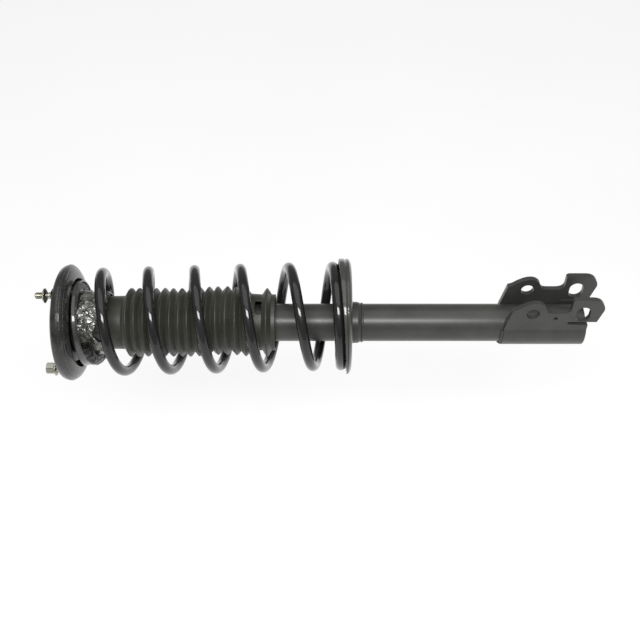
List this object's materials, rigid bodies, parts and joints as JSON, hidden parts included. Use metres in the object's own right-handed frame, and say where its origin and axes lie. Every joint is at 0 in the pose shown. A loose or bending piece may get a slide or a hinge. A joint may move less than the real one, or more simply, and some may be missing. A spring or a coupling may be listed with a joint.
{
  "type": "suspension strut assembly",
  "caption": "MacPherson strut with studded top mount, coil spring, bellows boot, damper tube and two-eared knuckle bracket.",
  "frame": {"origin": "centre of the top mount's body-side face, on the strut axis", "axes": "+X along the strut axis from the top mount to the knuckle bracket; +Z on the side the bracket's ears point to"},
  "size_m": [0.6542, 0.139, 0.1485],
  "materials": {
    "black_coated": "satin black coated steel with a thin rubber skin",
    "spring_black": "gloss black powder-coated spring steel",
    "grey_paint": "satin dark grey paint",
    "grey_seat": "satin mid grey paint",
    "rubber": "matt black rubber",
    "zinc": "bright zinc plate",
    "steel": "machined steel",
    "chrome": "hard chrome",
    "film": "crumpled clear plastic film, smoky silver",
    "foam": "closed-cell urethane foam"
  },
  "bodies": {
    "top_mount": {"mount_shell": "black_coated", "mount_bushing": "rubber", "inner_sleeve": "steel", "top_washer": "zinc", "rod_nut": "zinc", "mount_stud_1": "zinc", "mount_stud_2": "zinc", "mount_stud_3": "zinc", "flange_nut_1": "zinc", "flange_nut_2": "zinc", "flange_nut_3": "zinc", "bearing_top_race": "steel", "piston_rod": "chrome", "rebound_stop": "rubber", "damper_piston": "steel", "piston_nut": "steel", "bump_stop": "foam"},
    "spring_perch": {"bearing_cage": "foam", "bearing_lower_race": "steel", "boot_sleeve": "black_coated", "film_wrap": "film", "upper_spring_seat": "grey_seat", "spring_insulator": "rubber", "coil_spring": "spring_black", "dust_boot": "rubber"},
    "strut_body": {"strut_tube": "grey_paint", "rod_seal": "rubber", "rod_guide": "steel", "pressure_cylinder": "steel", "base_valve": "steel", "tube_cap": "grey_paint", "lower_spring_seat": "grey_paint", "seat_collar": "grey_paint", "knuckle_bracket": "grey_paint"}
  },
  "joints": [
    {"name": "steer_swivel", "type": "hinge", "parent": "top_mount", "child": "spring_perch", "pos_m": [0, 0, 0], "axis": [1, 0, 0], "range_deg": [-40, 40]},
    {"name": "damper_stroke", "type": "slide", "parent": "spring_perch", "child": "strut_body", "axis": [-1, 0, 0], "range_m": [0, 0.14], "stiffness_N_per_m": 22000, "deforming": ["coil_spring", "dust_boot"]}
  ]
}
